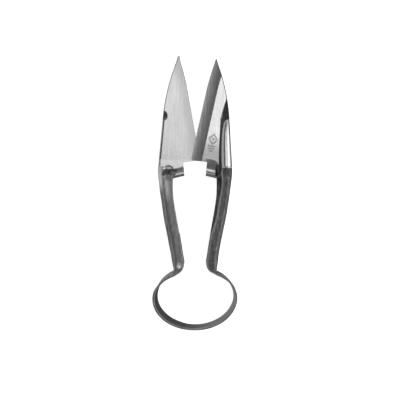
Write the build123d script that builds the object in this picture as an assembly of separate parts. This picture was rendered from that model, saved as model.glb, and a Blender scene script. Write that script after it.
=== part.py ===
from build123d import *
from math import acos, cos, degrees, radians, sin
import os

# Thread snips of the spring-bow pattern: one flat spring strip is bent into an open elliptical bow,
# each end of the strip is formed into a channel-shaped grip, and a triangular blade with a half-round
# rib and a stop lug is welded to each grip. Squeezing the grips flexes the bow and crosses the blades.
#
# Row frame, millimetres: the snips lie flat, +Y runs along them to the blade tips, +X is to the right,
# +Z is up. The origin is under the middle of the overall box, on the surface they lie on.
#
# Each half is drawn as the right-hand one in a half frame: X outward from the long axis, Z = 0 on the
# plane in which the blades shear, +Z towards that half's outer (ribbed) face. The left half is the same
# half turned 180 degrees about the long axis, so that the two flat faces slide on each other.

# ---- overall
STRIP_DEPTH = 9.0                # depth of the spring strip, across the shear plane
HALF_DEPTH = STRIP_DEPTH / 2
STRIP_T = 1.0                    # thickness of the spring strip in the bow
RUNNING_GAP = 0.05               # between the two flat faces
TIP_Y = 63.5                     # longest blade tip
BOTTOM_Y = -63.5                 # outside of the bow

# ---- bow: a strip between two ellipses, open at the neck
BOW_RX = 19.35                   # outside semi-axis across the snips
BOW_RY = 14.6                    # outside semi-axis along the snips
BOW_Y = BOTTOM_Y + BOW_RY        # centre of the ellipses, on the long axis
NECK_ANGLE = 50.0                # ellipse parameter at which the bow ends and a grip begins

# ---- grip: a channel whose web is on the palm side and whose two flanges point inward
NECK_CORNER_X = 10.25            # where the palm side meets the outside of the bow
WEB_T = 1.2
FLANGE_T = 1.1
PALM_R = 3.6                     # rounding of the palm side
GRIP_TOP_Y = 7.4
GRIP_TOP_X = 17.1
GRIP_INNER_TOP_X = 9.9
PALM_SIDE = [(10.8, -30.5), (15.0, -8.2), (16.6, 3.0)]
INNER_SIDE = [(10.1, 1.5), (7.1, -19.4)]
CHIN = (5.2, -31.6)              # innermost point of the grip, above the neck
NECK_BULGE = (6.3, -35.8)
FREE_EDGE = [(12.5, 8.0), (12.5, 2.4), (11.2, -4.5), (9.9, -12.0), (6.4, -21.3)]  # outer flange
CHANNEL_END_Y = -35.3

# ---- weld between grip and blade
WELD_TOP_Y = 11.7
WELD_TOP_X = 17.25
WELD_INNER_X = 11.9
WELD_INNER_R = 2.0

# ---- blade
PLATE_T = 1.3
EDGE_T = 0.12                    # thickness left at the cutting edge
BEVEL_W = 5.1                    # width of the hollow-ground bevel
BEVEL_HOLLOW = 0.2               # depth of its hollow below the chord
NOTCH = (5.5, 14.1)              # where the heel's edge meets the stop lug
RIB_TIP_Y = 33.9
# rib sections, from the blade's tip end: place along the snips, width, crest above the shear plane
RIB_SECTIONS = [(33.5, 1.4, 1.5), (30.3, 3.2, 2.5), (25.2, 4.1, 3.1), (18.5, 4.7, 3.7), (11.7, 5.3, 4.2)]

# outline of each blade in its half frame: tip, start of the curved point, heel, middle of the curved
# back, and shoulder where the rib begins
BLADES = {
    "left": {
        "tip": (7.6, TIP_Y),
        "point_start": (3.45, 47.5),
        "heel": (-2.25, 14.9),
        "back": (12.3, 50.0),
        "shoulder": (15.1, RIB_TIP_Y),
    },
    "right": {
        "tip": (9.8, 62.0),
        "point_start": (5.3, 47.5),
        "heel": (-1.75, 15.9),
        "back": (13.5, 50.3),
        "shoulder": (16.0, RIB_TIP_Y),
    },
}

# ---- stop lug: a hooked tab whose end crosses the shear plane, so that both lugs meet end to end;
# its profile is given as (place along the snips, height over the shear plane)
LUG_OUTER_SIDE = [(14.5, 1.2), (12.3, 1.6), (10.2, 2.8), (8.3, 2.0), (7.4, 0.3)]
LUG_HOOK_END = [(7.5, -0.9), (8.6, -0.9)]
LUG_FLAT_SIDE = [(9.1, 0.3), (10.3, 0.9), (11.8, 0.55), (14.5, 0.3)]
LUG_FACE = [(5.9, 15.2), (4.65, 6.6)]
LUG_SLANT = -9.0                 # turn of the lug, which drops a little towards the grip
LUG_TURN_AT = (4.7, 8.0)

# ---- mark struck into the right blade: a plain lozenge over a bar
MARK_CENTRE = (8.7, 22.5)
MARK_SIZE = 2.9
MARK_LINE = 0.35
MARK_DEPTH = 0.12
MARK_TURN = -13.0
BAR_SIZE = (2.6, 0.45)
BAR_DROP = 2.6


def prism(outline, low, high):
    """Solid of a closed flat outline between two heights."""
    return Pos(0, 0, low) * extrude(make_face(outline), amount=high - low)


def block(x_range, y_range, z_range):
    """Box between pairs of limits."""
    size = [high - low for low, high in (x_range, y_range, z_range)]
    middle = [(low + high) / 2 for low, high in (x_range, y_range, z_range)]
    return Pos(*middle) * Box(*size)


# ------------------------------------------------------------------ bow and grips

def bow_arc(inset, start, sweep):
    """Elliptical stretch of the bow's outside (inset 0) or inside (inset STRIP_T)."""
    return EllipticalCenterArc((0, BOW_Y), BOW_RX - inset, BOW_RY - inset, start, arc_size=sweep)


def bow_point(inset, angle):
    """Point of the bow's outside or inside at an ellipse parameter."""
    turn = radians(angle)
    return ((BOW_RX - inset) * cos(turn), BOW_Y + (BOW_RY - inset) * sin(turn))


def make_bow():
    """The open elliptical spring, from neck to neck round the bottom."""
    start, sweep = 180 - NECK_ANGLE, 180 + 2 * NECK_ANGLE
    outside = bow_arc(0, start, sweep)
    inside = bow_arc(STRIP_T, start, sweep)
    ends = Line(outside @ 0, inside @ 0) + Line(outside @ 1, inside @ 1)
    return prism(outside + inside + ends, 0, STRIP_DEPTH)


CORNER_ANGLE = degrees(acos(NECK_CORNER_X / BOW_RX))
CORNER = bow_point(0, CORNER_ANGLE)


def grip_silhouette():
    """Outline of the grip and of the elbow in which the strip turns from the bow up into it."""
    top = (GRIP_TOP_X, GRIP_TOP_Y)
    inner_top = (GRIP_INNER_TOP_X, GRIP_TOP_Y)
    bow_outer, bow_inner = bow_point(0, NECK_ANGLE), bow_point(STRIP_T, NECK_ANGLE)
    run_out = (bow_arc(STRIP_T, NECK_ANGLE, 10) % 0) * -1
    outline = (
        Spline([CORNER, *PALM_SIDE, top])
        + Line(top, inner_top)
        + Spline([inner_top, *INNER_SIDE, CHIN], tangents=[(0, -1), (0, -1)])
        + Spline([CHIN, NECK_BULGE, bow_inner], tangents=[(0, -1), run_out])
        + Line(bow_inner, bow_outer)
        + bow_arc(0, NECK_ANGLE, CORNER_ANGLE - NECK_ANGLE)
    )
    return prism(outline, -HALF_DEPTH, HALF_DEPTH)


def palm_rounding():
    """Block that rounds the grip's palm side above the neck corner and leaves the neck square."""
    inner_x, outer_x = 0, 25
    palm = Spline([CORNER, *PALM_SIDE, (GRIP_TOP_X, GRIP_TOP_Y)])
    corners = [palm @ 1, (inner_x, GRIP_TOP_Y), (inner_x, CORNER[1]), palm @ 0]
    solid = prism(palm + Polyline(*corners), -HALF_DEPTH, HALF_DEPTH)
    palm_edges = solid.edges().filter_by(lambda edge: abs(edge.length - palm.length) < 0.01)
    below = block((inner_x, outer_x), (BOW_Y, CORNER[1]), (-HALF_DEPTH, HALF_DEPTH))
    return fillet(palm_edges, PALM_R) + below


def channel_hollow():
    """Space inside the channel: between the flanges, behind the web, open inward."""
    web = Spline([(x - WEB_T, y) for x, y in [(CORNER[0], CHANNEL_END_Y), *PALM_SIDE]])
    far = -5.0
    top_y = GRIP_TOP_Y + 1
    top = (PALM_SIDE[-1][0] - WEB_T, top_y)
    outline = (
        web
        + Line(web @ 1, top)
        + Line(top, (far, top_y))
        + Line((far, top_y), (far, CHANNEL_END_Y))
        + Line((far, CHANNEL_END_Y), web @ 0)
    )
    solid = prism(outline, FLANGE_T - HALF_DEPTH, HALF_DEPTH - FLANGE_T)
    web_edges = solid.edges().filter_by(lambda edge: abs(edge.length - web.length) < 0.01)
    return fillet(web_edges, PALM_R - WEB_T)


def flange_trim():
    """What is cut from the outer flange, which is narrow at the top and widens towards the neck."""
    far = -5.0
    edge = Spline(FREE_EDGE)
    outline = (
        edge
        + Line(edge @ 1, (far, FREE_EDGE[-1][1]))
        + Line((far, FREE_EDGE[-1][1]), (far, FREE_EDGE[0][1]))
        + Line((far, FREE_EDGE[0][1]), edge @ 0)
    )
    return prism(outline, HALF_DEPTH - 2 * FLANGE_T, HALF_DEPTH + 1)


def make_grip():
    """Channel-shaped grip with its neck."""
    return (grip_silhouette() & palm_rounding()) - channel_hollow() - flange_trim()


def make_weld():
    """Upset weld that joins the channel to the ribbed blade; its flat side ramps up to the blade."""
    corners = [
        (WELD_INNER_X, GRIP_TOP_Y),
        (GRIP_TOP_X, GRIP_TOP_Y),
        (WELD_TOP_X, WELD_TOP_Y),
        (WELD_INNER_X, WELD_TOP_Y),
    ]
    solid = prism(Polyline(*corners, close=True), -HALF_DEPTH, HALF_DEPTH)
    palm_edges = solid.edges().filter_by(
        lambda edge: edge.center().X > GRIP_TOP_X - 0.1 and abs(edge.center().Z) > 1
    )
    solid = fillet(palm_edges, PALM_R)
    rib_edge = solid.edges().filter_by(
        lambda edge: edge.center().X < WELD_INNER_X + 0.1 and edge.center().Z > 1
    )
    solid = fillet(rib_edge, WELD_INNER_R)
    low = -HALF_DEPTH - 1
    ramp = Polyline((GRIP_TOP_Y, -HALF_DEPTH), (WELD_TOP_Y, 0), (WELD_TOP_Y + 1, 0),
                    (WELD_TOP_Y + 1, low), (GRIP_TOP_Y, low), close=True)
    return solid - across(ramp, 0, 30)


# ------------------------------------------------------------------ blades

def across(outline, low, high):
    """Solid of an outline drawn as (along the snips, height), between two places across them."""
    face = Plane.YZ * make_face(outline)
    return Pos(low, 0, 0) * extrude(face, amount=high - low, dir=(1, 0, 0))


def cutting_edge(shape):
    """Cutting edge from the heel: straight, then gently curved to the tip."""
    straight = Line(shape["heel"], shape["point_start"])
    curved = TangentArc(shape["point_start"], shape["tip"], tangent=straight % 1)
    return straight, curved


def blade_plate(shape):
    """Flat plate of the blade with its hollow-ground bevel."""
    straight, curved = cutting_edge(shape)
    back = ThreePointArc(shape["tip"], shape["back"], shape["shoulder"])
    root = (WELD_TOP_X, WELD_TOP_Y)
    rest = Polyline(shape["shoulder"], root, (NOTCH[0], WELD_TOP_Y), NOTCH, shape["heel"])
    plate = prism(straight + curved + back + rest, RUNNING_GAP / 2, PLATE_T)
    return plate - bevel_cutter(straight, curved)


def bevel_cutter(straight, curved):
    """What the grinding wheel takes off along the cutting edge."""
    along = straight % 0
    inward = Vector(along.Y, -along.X)
    start = straight @ 0 - along * 3
    section_plane = Plane(origin=start, x_dir=inward, z_dir=along)
    up = -1 if section_plane.y_dir.Z < 0 else 1
    slope = (PLATE_T - EDGE_T) / BEVEL_W
    margin = 1.5
    outside = (-margin, up * (EDGE_T - margin * slope))
    middle = (BEVEL_W / 2, up * ((PLATE_T + EDGE_T) / 2 - BEVEL_HOLLOW))
    inside = (BEVEL_W, up * PLATE_T)
    high = up * (PLATE_T + 3)
    section = make_face(
        ThreePointArc(outside, middle, inside)
        + Polyline(inside, (BEVEL_W, high), (-margin, high), outside)
    )
    length = straight.length + curved.length + 6
    return extrude(section_plane * section, amount=length, dir=along)


def rib_section(shape, place, width, crest):
    """Half-elliptical section of the rib, its outer side on the blade's back edge."""
    top, root = shape["shoulder"], (WELD_TOP_X, WELD_TOP_Y)
    outer = root[0] + (top[0] - root[0]) * (place - root[1]) / (top[1] - root[1])
    centre = outer - width / 2
    low = RUNNING_GAP / 2
    arch = EllipticalCenterArc((0, 0), width / 2, crest - low, 0, arc_size=180)
    face = make_face(arch + Line(arch @ 1, arch @ 0))
    plane = Plane(origin=(centre, place, low), x_dir=(1, 0, 0), z_dir=(0, -1, 0))
    return plane * face


def blade_rib(shape):
    """Tapered half-round rib that carries the grip's section on to the blade."""
    return loft([rib_section(shape, *values) for values in RIB_SECTIONS])


def stop_lug():
    """Hooked tab under the blade's heel, with its end face cut to meet the other lug."""
    profile = (
        Spline(LUG_OUTER_SIDE)
        + Polyline(LUG_OUTER_SIDE[-1], *LUG_HOOK_END, LUG_FLAT_SIDE[0])
        + Spline(LUG_FLAT_SIDE)
        + Line(LUG_FLAT_SIDE[-1], LUG_OUTER_SIDE[0])
    )
    tab = across(profile, 0, WELD_INNER_X + 0.4)
    tab = Pos(*LUG_TURN_AT) * Rot(0, 0, LUG_SLANT) * Pos(-LUG_TURN_AT[0], -LUG_TURN_AT[1]) * tab
    (top_x, top_y), (low_x, low_y) = LUG_FACE
    lean = (top_x - low_x) / (top_y - low_y)
    span = 6.0
    end_cut = Polyline((low_x - span * lean, low_y - span), (top_x + span * lean, top_y + span),
                       (-9, top_y + span), (-9, low_y - span), close=True)
    tab -= prism(end_cut, -HALF_DEPTH, HALF_DEPTH)
    return tab & block((0, WELD_INNER_X), (0, 30), (-HALF_DEPTH, HALF_DEPTH))


def struck_mark():
    """Lozenge outline, centre dot and bar, as the punch leaves them."""
    outer = Rot(0, 0, 45) * Rectangle(MARK_SIZE / 2**0.5, MARK_SIZE / 2**0.5)
    inner = Rot(0, 0, 45) * Rectangle(*2 * [MARK_SIZE / 2**0.5 - 2 * MARK_LINE])
    bar = Pos(0, -BAR_DROP) * Rectangle(*BAR_SIZE)
    figure = (outer - inner) + Circle(MARK_LINE) + bar
    lines = extrude(figure, amount=1)
    return Pos(*MARK_CENTRE, PLATE_T - MARK_DEPTH) * Rot(0, 0, MARK_TURN) * lines


def make_blade(side):
    """Blade forging: plate, rib and stop lug in one piece."""
    shape = BLADES[side]
    blade = blade_plate(shape) + blade_rib(shape) + stop_lug()
    if side == "right":
        blade -= struck_mark()
    return blade


# ------------------------------------------------------------------ assembly

def place_half(solid, side):
    """Moves a half's solid from its half frame to the row frame."""
    turn = Rot(0, 180, 0) if side == "left" else Rot(0, 0, 0)
    return Pos(0, 0, HALF_DEPTH) * turn * solid


def main():
    os.makedirs("parts", exist_ok=True)
    nodes = {"bow_spring": make_bow()}
    lug = stop_lug()
    for side in BLADES:
        nodes[f"{side}_grip"] = place_half(make_grip() - lug, side)
        nodes[f"{side}_weld"] = place_half(make_weld() - lug, side)
        nodes[f"{side}_blade"] = place_half(make_blade(side), side)
    for name, solid in nodes.items():
        solid.label = name
        export_step(solid, f"parts/{name}.step")


main()
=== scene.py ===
import functools
import math
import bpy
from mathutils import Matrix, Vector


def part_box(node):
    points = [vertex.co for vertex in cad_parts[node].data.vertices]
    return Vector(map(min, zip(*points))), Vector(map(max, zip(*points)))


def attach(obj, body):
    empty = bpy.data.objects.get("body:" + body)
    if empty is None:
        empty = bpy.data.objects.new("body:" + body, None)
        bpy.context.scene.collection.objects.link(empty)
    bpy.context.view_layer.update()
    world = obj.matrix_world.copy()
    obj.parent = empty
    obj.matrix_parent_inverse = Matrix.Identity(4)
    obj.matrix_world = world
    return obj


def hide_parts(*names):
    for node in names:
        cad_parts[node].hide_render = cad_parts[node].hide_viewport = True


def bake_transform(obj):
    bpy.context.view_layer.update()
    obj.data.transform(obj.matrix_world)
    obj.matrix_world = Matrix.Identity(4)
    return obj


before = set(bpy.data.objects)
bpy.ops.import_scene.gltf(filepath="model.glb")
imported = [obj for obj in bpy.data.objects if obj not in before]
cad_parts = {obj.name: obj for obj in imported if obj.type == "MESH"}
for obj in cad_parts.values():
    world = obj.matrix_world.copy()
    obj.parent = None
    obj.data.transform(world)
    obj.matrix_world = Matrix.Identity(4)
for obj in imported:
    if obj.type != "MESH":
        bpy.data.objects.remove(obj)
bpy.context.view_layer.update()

from types import SimpleNamespace

import bmesh
import bpy
import numpy as np
from mathutils import Vector, noise

# Thread snips: a spring strip bent into a bow and two channel grips, with a ribbed blade welded to each.
# Shapes are worked out in millimetres in a half frame, as the right-hand half: X outward from the long
# axis, Z = 0 on the shear plane, +Z towards the half's outer, ribbed face. The left half is the same
# half turned 180 degrees about the long axis.
# Readings from 0 to 1 at the points of a mesh, for its material: wear, satin and frost; a darkening that is
# forging scale in part and painted shade in hollows, crevices and on faces turned from the light; and painted
# highlights and sheen.

MM = 0.001


def box_mm(node):
    """Lowest and highest corner of a CAD node, in millimetres."""
    low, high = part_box(node)
    return np.array(low) / MM, np.array(high) / MM


# -------- sizes, from the frame

bow_low, bow_high = box_mm("bow_spring")
HALF_DEPTH = (bow_high[2] - bow_low[2]) / 2  # half the strip's width
SHEAR_Z = bow_low[2] + HALF_DEPTH
BOW_RX = bow_high[0]  # radii of the bow's ellipse, to its outside
BOW_RY = 14.6
BOW_BOTTOM = bow_low[1]
BOW_Y = BOW_BOTTOM + BOW_RY
STRIP_T = 1.0
GRIP_TOP_X, GRIP_TOP_Y, _ = box_mm("right_grip")[1]
WELD_TOP_X, WELD_TOP_Y, _ = box_mm("right_weld")[1]


# -------- sizes of the strip

NECK_ANGLE = 50.0  # on the bow's ellipse: where the strip is split into bow and grip
THICK_ANGLE = 34.0  # where the inside of the strip leaves the ellipse
PALM_ANGLE = 58.0  # where the palm side begins
NECK_CORNER_X = 10.25
CORNER_ROUND = 0.45
PALM_SIDE = [(10.8, -30.5), (15.0, -8.2), (16.6, 3.0)]
NECK_INSIDE = {
    "left": [(12.45, -39.3), (9.3, -37.9), (6.3, -35.8)],
    "right": [(12.5, -39.2), (9.6, -37.7), (6.35, -35.75)],
}
CHIN = (5.2, -31.6)
CHIN_HIGHLIGHT = (7.46, -33.8)  # middle of the painted highlight there
INNER_SIDE = [(7.1, -19.4), (10.1, 1.5), (9.9, GRIP_TOP_Y + 2)]
FREE_EDGE = [(6.3, -21.3), (9.6, -12.0), (10.9, -4.5), (12.15, 2.4), (12.0, 8.5)]  # of the outer flange
WEB_T = 1.2
FLANGE_T = 1.1
PALM_R = 3.6  # radius of the shoulders of the palm side
BOW_EDGE_R = 0.3
FLANGE_EDGE_R = 0.28
STRIP_STEP = 0.42  # distance between sections
STRIP_RUN = 45.0  # about the length of half a bow, and of a grip

# how far the strip stands out of square: (distance along it from the bow's bottom, slope)
LEAN = {
    "left": [(0, -0.04), (3, -0.04), (8, -0.08), (20, -0.13), (29, -0.11), (36, 0.03), (41, 0.05), (46, 0)],
    "right": [(0, 0.04), (3, 0.04), (8, 0.05), (20, 0.06), (32, 0.05), (41, 0)],
}
# how far the bow sits inside its ellipse: (the same distance, shift)
BOW_SHIFT = {
    "left": [(0, 0.24), (4, 0.24), (10, 0.3), (29, 0.25), (34, 0.4), (42, 0.42), (48, 0)],
    "right": [
        (0, 0.24), (4, 0.24), (10, 0.32), (20, 0.35), (27, 0.1), (34, 0), (39, 0.12), (43, 0.25), (48, 0),
    ],
}
# how far the palm side stands outside its line: (the same distance, shift)
PALM_OUT = {
    "left": [(46, 0), (57, 0.32), (66, 0.2), (74, 0)],
    "right": [(46, 0), (50, 0)],
}


# -------- sizes of the blades

FLAT_Z = 0.025  # a blade's flat face, beside the shear plane
PLATE_T = 1.3
EDGE_T = 0.12
BEVEL_W = 5.1
BEVEL_HOLLOW = 0.12
HONED_W = 0.4
RIM_Z = 0.45  # height of the rib's outer line over the shear plane
NOTCH_X = 5.5  # where the heel's edge meets the stop lug
BLADES = {
    "left": {
        "tip": (7.6, box_mm("left_blade")[1][1]),
        "point_start": (3.45, 47.5),
        "heel": (-2.25, 14.9),
        "back": (12.3, 50.0),
        "shoulder": (15.1, 33.9),
        "blunt": 0.42,  # half the width of the tip
        "stations": 260,
        "flat_steps": 26,
    },
    "right": {
        "tip": (9.8, box_mm("right_blade")[1][1]),
        "point_start": (5.3, 47.5),
        "heel": (-1.75, 15.9),
        "back": (13.5, 50.3),
        "shoulder": (16.0, 33.9),
        "blunt": 0.2,
        "stations": 384,  # finer than the left's, for the struck mark
        "flat_steps": 60,
    },
}
ROOT = [(-2.25, 14.9), (NOTCH_X, 14.1), (11.9, 12.6), (12.3, 11.7), (17.25, 11.7)]
ROOT_ROWS = 12  # stations over which the root's own line fades out
BEVEL_STEPS, GROOVE_STEPS, RIB_STEPS = 20, 14, 26

# profiles along the blade: (place along the snips, value)
RIB_WIDTH = [
    (11.7, 5.8), (18.5, 5.3), (25.2, 4.55), (29.5, 3.75), (31.7, 3.0), (32.9, 2.2), (33.6, 1.1), (34.0, 0.3),
]
RIB_CREST = [
    (11.7, 4.25), (18.5, 3.75), (25.2, 3.2), (29.5, 2.75), (31.7, 2.3), (32.9, 1.8), (33.6, 1.2), (34.0, 0.8),
]
GROOVE_WIDTH = [
    (11.7, 0.6), (25.2, 0.62), (29.5, 0.95), (31.7, 1.45), (32.9, 2.25), (33.6, 3.35), (34.0, 4.05),
    (35.0, 3.8), (39.5, 1.85), (43.3, 0.12),
]
RIB_NOSE = (34.6, 33.6)  # places between which the rib rises out of the plate
GROOVE_CLIMB = (31.5, 35.5)  # and the groove's floor climbs to the rib's nose
GROOVE_DEPTH = [(11.7, 0.9), (25.2, 0.8), (30.0, 0.8), (34.2, 0.95), (39.5, 0.65), (43.3, 0.0)]

NICK_AT = (-0.45, 35.6)  # from the shoulder outward, and along the snips
NICK_R = 1.75
NICK_DEPTH = 0.55
GLINT_AT = (14.1, 34.4)  # painted highlight in the nick

# stop lug: (distance below the heel's edge, height over the shear plane)
LUG_OUTER = [
    (0, 1.7), (0.8, 1.97), (1.6, 2.27), (2.4, 2.55), (3.1, 2.75), (3.7, 2.83), (4.3, 2.84), (4.8, 2.78),
    (5.2, 2.55), (5.5, 2.1), (5.85, 1.4), (6.3, 0.5), (6.6, -0.3), (6.4, -0.85),
]
LUG_FLAT = [
    (0, FLAT_Z), (1.2, 0.03), (2.3, 0.05), (2.9, 0.22), (3.8, 0.55), (4.4, 0.42), (4.9, 0.08),
    (5.4, -0.38), (5.75, -0.85), (5.9, -0.92),
]
LUG_FILLET = [(0, 0.48), (1.3, 0.09), (1.6, 0.022), (1.9, 0)]  # rise of the plate above the lug's root
LUG_CREST = (10.5, 9.2)  # where the lug's crest fades out, towards the back
LUG_OUTER_X = 12.1
LUG_FACE_LEAN = 0.1
LUG_ROWS = 30

MARK_AT = (8.3, 24.4)
MARK_TURN = math.radians(13)
MARK_DEPTH = 0.16
MARK_HALF = (1.9, 2.3)  # half the lozenge's width and height
MARK_LINE = 0.2
MARK_SIDE = 1.45  # from the lozenge's middle square to a side
MARK_SOFT = 0.13  # width over which the mark's walls fall
MARK_DOT_R = 0.42
MARK_BARS = ((3.2, 1.7), (4.3, 1.25), (5.4, 0.8))  # distance below the lozenge's middle, half length


# -------- sizes of the welds

WELD_ROWS = 44
ARCH_POINTS, BASE_POINTS = 30, 26
WELD_INNER = (11.75, 1.6)  # inner side's place at the blade, and how much it widens towards the grip
WELD_FOOT, WELD_CREST = 0.3, 4.2  # heights of the arch at the blade
WELD_PROUD = 0.05
WELD_OVERLAP = (0.25, 0.35)  # how far the weld runs into the blade and into the grip
LIP_DROP, LIP_W = 0.2, 0.28  # lip under the blade's end, with a painted highlight along it
SEAM_X, SEAM_W = 12.35, 0.28  # ridge that carries on the grip's free edge, with a painted highlight along it
# heights of the flat side: (place along the snips, height), in the middle and at the palm wall
FLOOR = [(7.0, -4.3), (7.4, -3.2), (7.8, -0.2), (8.3, 0.1), (12.3, 0.02)]
WALL = [
    (7.0, -4.42), (7.6, -4.15), (8.4, -3.4), (9.4, -2.4), (10.4, -1.4), (11.3, -0.5), (12.0, 0.02),
]
# pocket in the flat side: half its width, as (places along the snips, half widths), and its middle
POCKET_REACH = ([7.4, 8.0, 9.6, 10.8, 11.4], [1.4, 2.0, 3.1, 3.0, 2.2])
POCKET_X = 11.55
POCKET_DEPTH = 0.55
RIPPLE_PITCH = 1.25
LEDGE_AT = (12.3, 12.45)  # top of the arched ledge over the pocket
LEDGE_DEPTH = 0.22
PALM_HIGHLIGHT = 0.55  # brightness of the painted highlight on the palm side's shoulder


# -------- curves

def between_knots(values, slopes, i, u, h):
    """Smooth (Hermite) value a share u of the way from knot i to the next one, h further on."""
    return (
        (2 * u**3 - 3 * u**2 + 1) * values[i]
        + (u**3 - 2 * u**2 + u) * h * slopes[i]
        + (-2 * u**3 + 3 * u**2) * values[i + 1]
        + (u**3 - u**2) * h * slopes[i + 1]
    )


def smooth_curve(points, count):
    """Points evenly spread along a smooth curve through a few given ones."""
    p = np.array(points, float)
    run = distance_along(p)
    slopes = np.gradient(p, run, axis=0, edge_order=2 if len(p) > 2 else 1)
    at = np.linspace(0, run[-1], count)
    i = np.clip(np.searchsorted(run, at, side="right") - 1, 0, len(p) - 2)
    h = (run[i + 1] - run[i])[:, None]
    return between_knots(p, slopes, i, (at - run[i])[:, None] / h, h)


def value_along(profile, y):
    """Smooth value of a (place, value) profile, without overshoot, constant past its ends."""
    places, values = np.array(profile, float).T
    steps = np.diff(values) / np.diff(places)
    slopes = np.zeros(len(values))
    same_sign = steps[:-1] * steps[1:] > 0
    slopes[1:-1][same_sign] = (2 * steps[:-1] * steps[1:] / (steps[:-1] + steps[1:] + 1e-12))[same_sign]
    slopes[0], slopes[-1] = steps[0], steps[-1]
    y = np.clip(np.asarray(y, float), places[0], places[-1])
    i = np.clip(np.searchsorted(places, y, side="right") - 1, 0, len(places) - 2)
    h = places[i + 1] - places[i]
    return between_knots(values, slopes, i, (y - places[i]) / h, h)


def distance_along(points):
    """Distance of each point of a polyline from its start."""
    return np.concatenate([[0], np.cumsum(np.linalg.norm(np.diff(points, axis=0), axis=1))])


def smoothstep(low, high, x):
    """Smooth rise from 0 at low to 1 at high; a fall where low is above high."""
    u = np.clip((np.asarray(x, float) - low) / (high - low), 0, 1)
    return u * u * (3 - 2 * u)


def bump_at(x, middle, width):
    """Smooth bump of height 1."""
    return np.exp(-(((x - middle) / width) ** 2))


def strongest(*readings):
    """The highest of several readings, point by point."""
    return functools.reduce(np.maximum, readings)


def arc_through(a, m, b, count):
    """Points on the circle from a through m to b."""
    a, m, b = (complex(*p) for p in (a, m, b))
    w = (m - a) / (b - a)
    centre = a - (a - b) * (w - abs(w) ** 2) / (2j * w.imag)
    start = np.angle(a - centre)
    sweep = np.angle((b - centre) / (a - centre))
    if np.angle((m - centre) / (a - centre)) * sweep < 0:
        sweep -= math.copysign(2 * math.pi, sweep)
    turns = start + sweep * np.linspace(0, 1, count)
    points = centre + abs(a - centre) * np.exp(1j * turns)
    return np.c_[points.real, points.imag]


def tangent_arc(start, along, end, count):
    """Points on the arc that leaves start in a direction and ends at end."""
    start, end = np.array(start, float), np.array(end, float)
    along = np.array(along, float) / np.linalg.norm(along)
    chord = end - start
    side = np.array([-along[1], along[0]])
    radius = chord @ chord / (2 * chord @ side)
    centre = start + radius * side
    out = start + chord / 2 - centre
    bulge = centre + out / np.linalg.norm(out) * abs(radius)
    return arc_through(start, bulge, end, count)


def resample(points, count):
    """The same polyline with evenly spread points."""
    run = distance_along(points)
    at = np.linspace(0, run[-1], count)
    return np.stack([np.interp(at, run, column) for column in points.T], axis=1)


# -------- mesh building

def to_row(points, side):
    """Half frame in millimetres to the row frame in metres."""
    p = np.array(points, float)
    if side == "left":
        p = p * [-1, 1, -1]
    return (p + [0, 0, SHEAR_Z]) * MM


def ring_faces(rings, size):
    """Quads between neighbouring closed rings, and a face over each end."""
    faces = []
    for r in range(rings - 1):
        for k in range(size):
            a = r * size + k
            b = r * size + (k + 1) % size
            faces.append((a, b, b + size, a + size))
    faces.append(tuple(range(size)))
    faces.append(tuple(range((rings - 1) * size, rings * size))[::-1])
    return faces


def make_piece(name, points, faces, side, material, sharp, shades):
    """Blender object from half-frame points and its readings, smooth but for edges over an angle."""
    mesh = bpy.data.meshes.new(name)
    mesh.from_pydata([tuple(p) for p in to_row(points, side)], [], faces)
    mesh.update()
    for label, values in shades.items():
        layer = mesh.attributes.new(label, "FLOAT", "POINT")
        layer.data.foreach_set("value", np.asarray(values, float).ravel())
    piece = bpy.data.objects.new(name, mesh)
    bpy.context.scene.collection.objects.link(piece)
    b = bmesh.new()
    b.from_mesh(mesh)
    bmesh.ops.recalc_face_normals(b, faces=b.faces)
    b.to_mesh(mesh)
    b.free()
    mesh.polygons.foreach_set("use_smooth", [True] * len(mesh.polygons))
    mesh.set_sharp_from_angle(angle=math.radians(sharp))
    mesh.materials.append(material)
    return piece


def grid_noise(points, scale, seed):
    """Soft noise from -1 to 1 at points in millimetres."""
    return np.array([noise.noise(Vector(p) * scale + Vector((seed, 0, 0))) for p in points])


# -------- spring strip: bow and grips

def ellipse_point(inset, degrees):
    """Point on the bow's ellipse, or inside it by an inset."""
    turn = np.radians(degrees)
    return np.stack([(BOW_RX - inset) * np.cos(turn), BOW_Y + (BOW_RY - inset) * np.sin(turn)], axis=-1)


def strip_path():
    """Outside of the strip from the bottom of the bow round to the top of the grip, and its neck's place."""
    corner_angle = math.degrees(math.acos(NECK_CORNER_X / BOW_RX))
    corner = ellipse_point(0, corner_angle)
    bow = ellipse_point(0, np.linspace(-90, corner_angle, 400))
    palm = smooth_curve([corner, *PALM_SIDE, (GRIP_TOP_X, GRIP_TOP_Y)], 400)
    along_bow = np.linalg.norm(bow - corner, axis=1)
    along_palm = np.linalg.norm(palm - corner, axis=1)
    bow = bow[(along_bow > CORNER_ROUND) | (bow[:, 1] < BOW_Y)]
    palm = palm[along_palm > CORNER_ROUND]
    u = np.linspace(0, 1, 22)[:, None]
    bend = (1 - u) ** 2 * bow[-1] + 2 * u * (1 - u) * corner + u**2 * palm[0]
    steps = int(round(STRIP_RUN / STRIP_STEP))
    path = np.vstack([resample(bow, steps)[:-1], bend, resample(palm, steps)[1:]])
    neck = ellipse_point(0, NECK_ANGLE)
    return path, int(np.argmin(np.linalg.norm(path - neck, axis=1)))


def inner_outline(side):
    """Inside of the strip and free edge of the grip's wide flange."""
    bow = ellipse_point(STRIP_T, np.linspace(-92, THICK_ANGLE, 300))
    neck = smooth_curve([bow[-1], *NECK_INSIDE[side], CHIN], 80)
    grip = smooth_curve([CHIN, *INNER_SIDE], 120)
    return np.vstack([bow, neck[1:], grip[1:]])


def narrow_outline(inner):
    """The same for the grip's outer flange, which is cut back towards the blade."""
    kept = inner[inner[:, 1] < FREE_EDGE[0][1]]
    return np.vstack([kept, smooth_curve(FREE_EDGE, 120)])


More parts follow.
